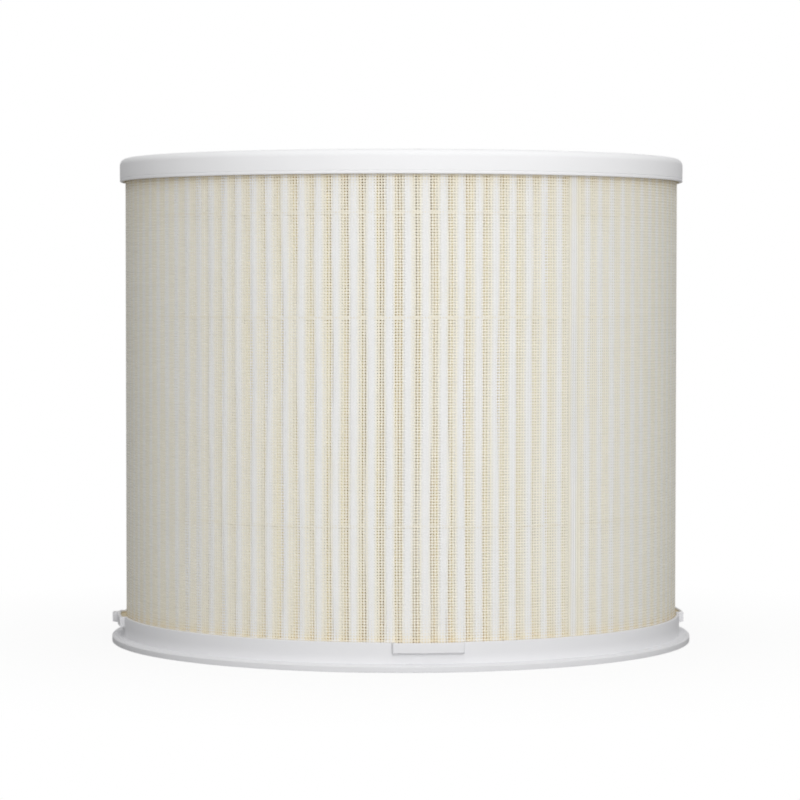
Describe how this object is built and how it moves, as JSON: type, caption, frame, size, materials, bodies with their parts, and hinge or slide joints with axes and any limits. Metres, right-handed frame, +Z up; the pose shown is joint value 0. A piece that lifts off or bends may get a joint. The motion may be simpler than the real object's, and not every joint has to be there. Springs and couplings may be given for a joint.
{
  "type": "air purifier filter",
  "caption": "Drum-shaped filter: upright pleats of cream paper under a fine white net, potted into a rounded top ring and a flanged bottom ring, open through the middle.",
  "frame": {"origin": "centre of the base, on the surface that the flange stands on", "axes": "+Z up along the drum's axis; -Y through the middle of the wall bump-out that faces the viewer"},
  "size_m": [0.2628, 0.2628, 0.2178],
  "materials": {
    "ring_plastic": "satin moulded white",
    "net": "fine white plastic net",
    "filter_paper": "cream non-woven paper",
    "glue": "tan potting glue",
    "hot_melt": "milky hot-melt"
  },
  "bodies": {
    "root": {"bottom_ring": "ring_plastic", "top_ring": "ring_plastic", "bottom_potting": "glue", "top_potting": "glue", "pleat_pack": "filter_paper", "mesh_sleeve": "net", "spacer_thread_1": "hot_melt", "spacer_thread_2": "hot_melt", "spacer_thread_3": "hot_melt"}
  },
  "joints": []
}
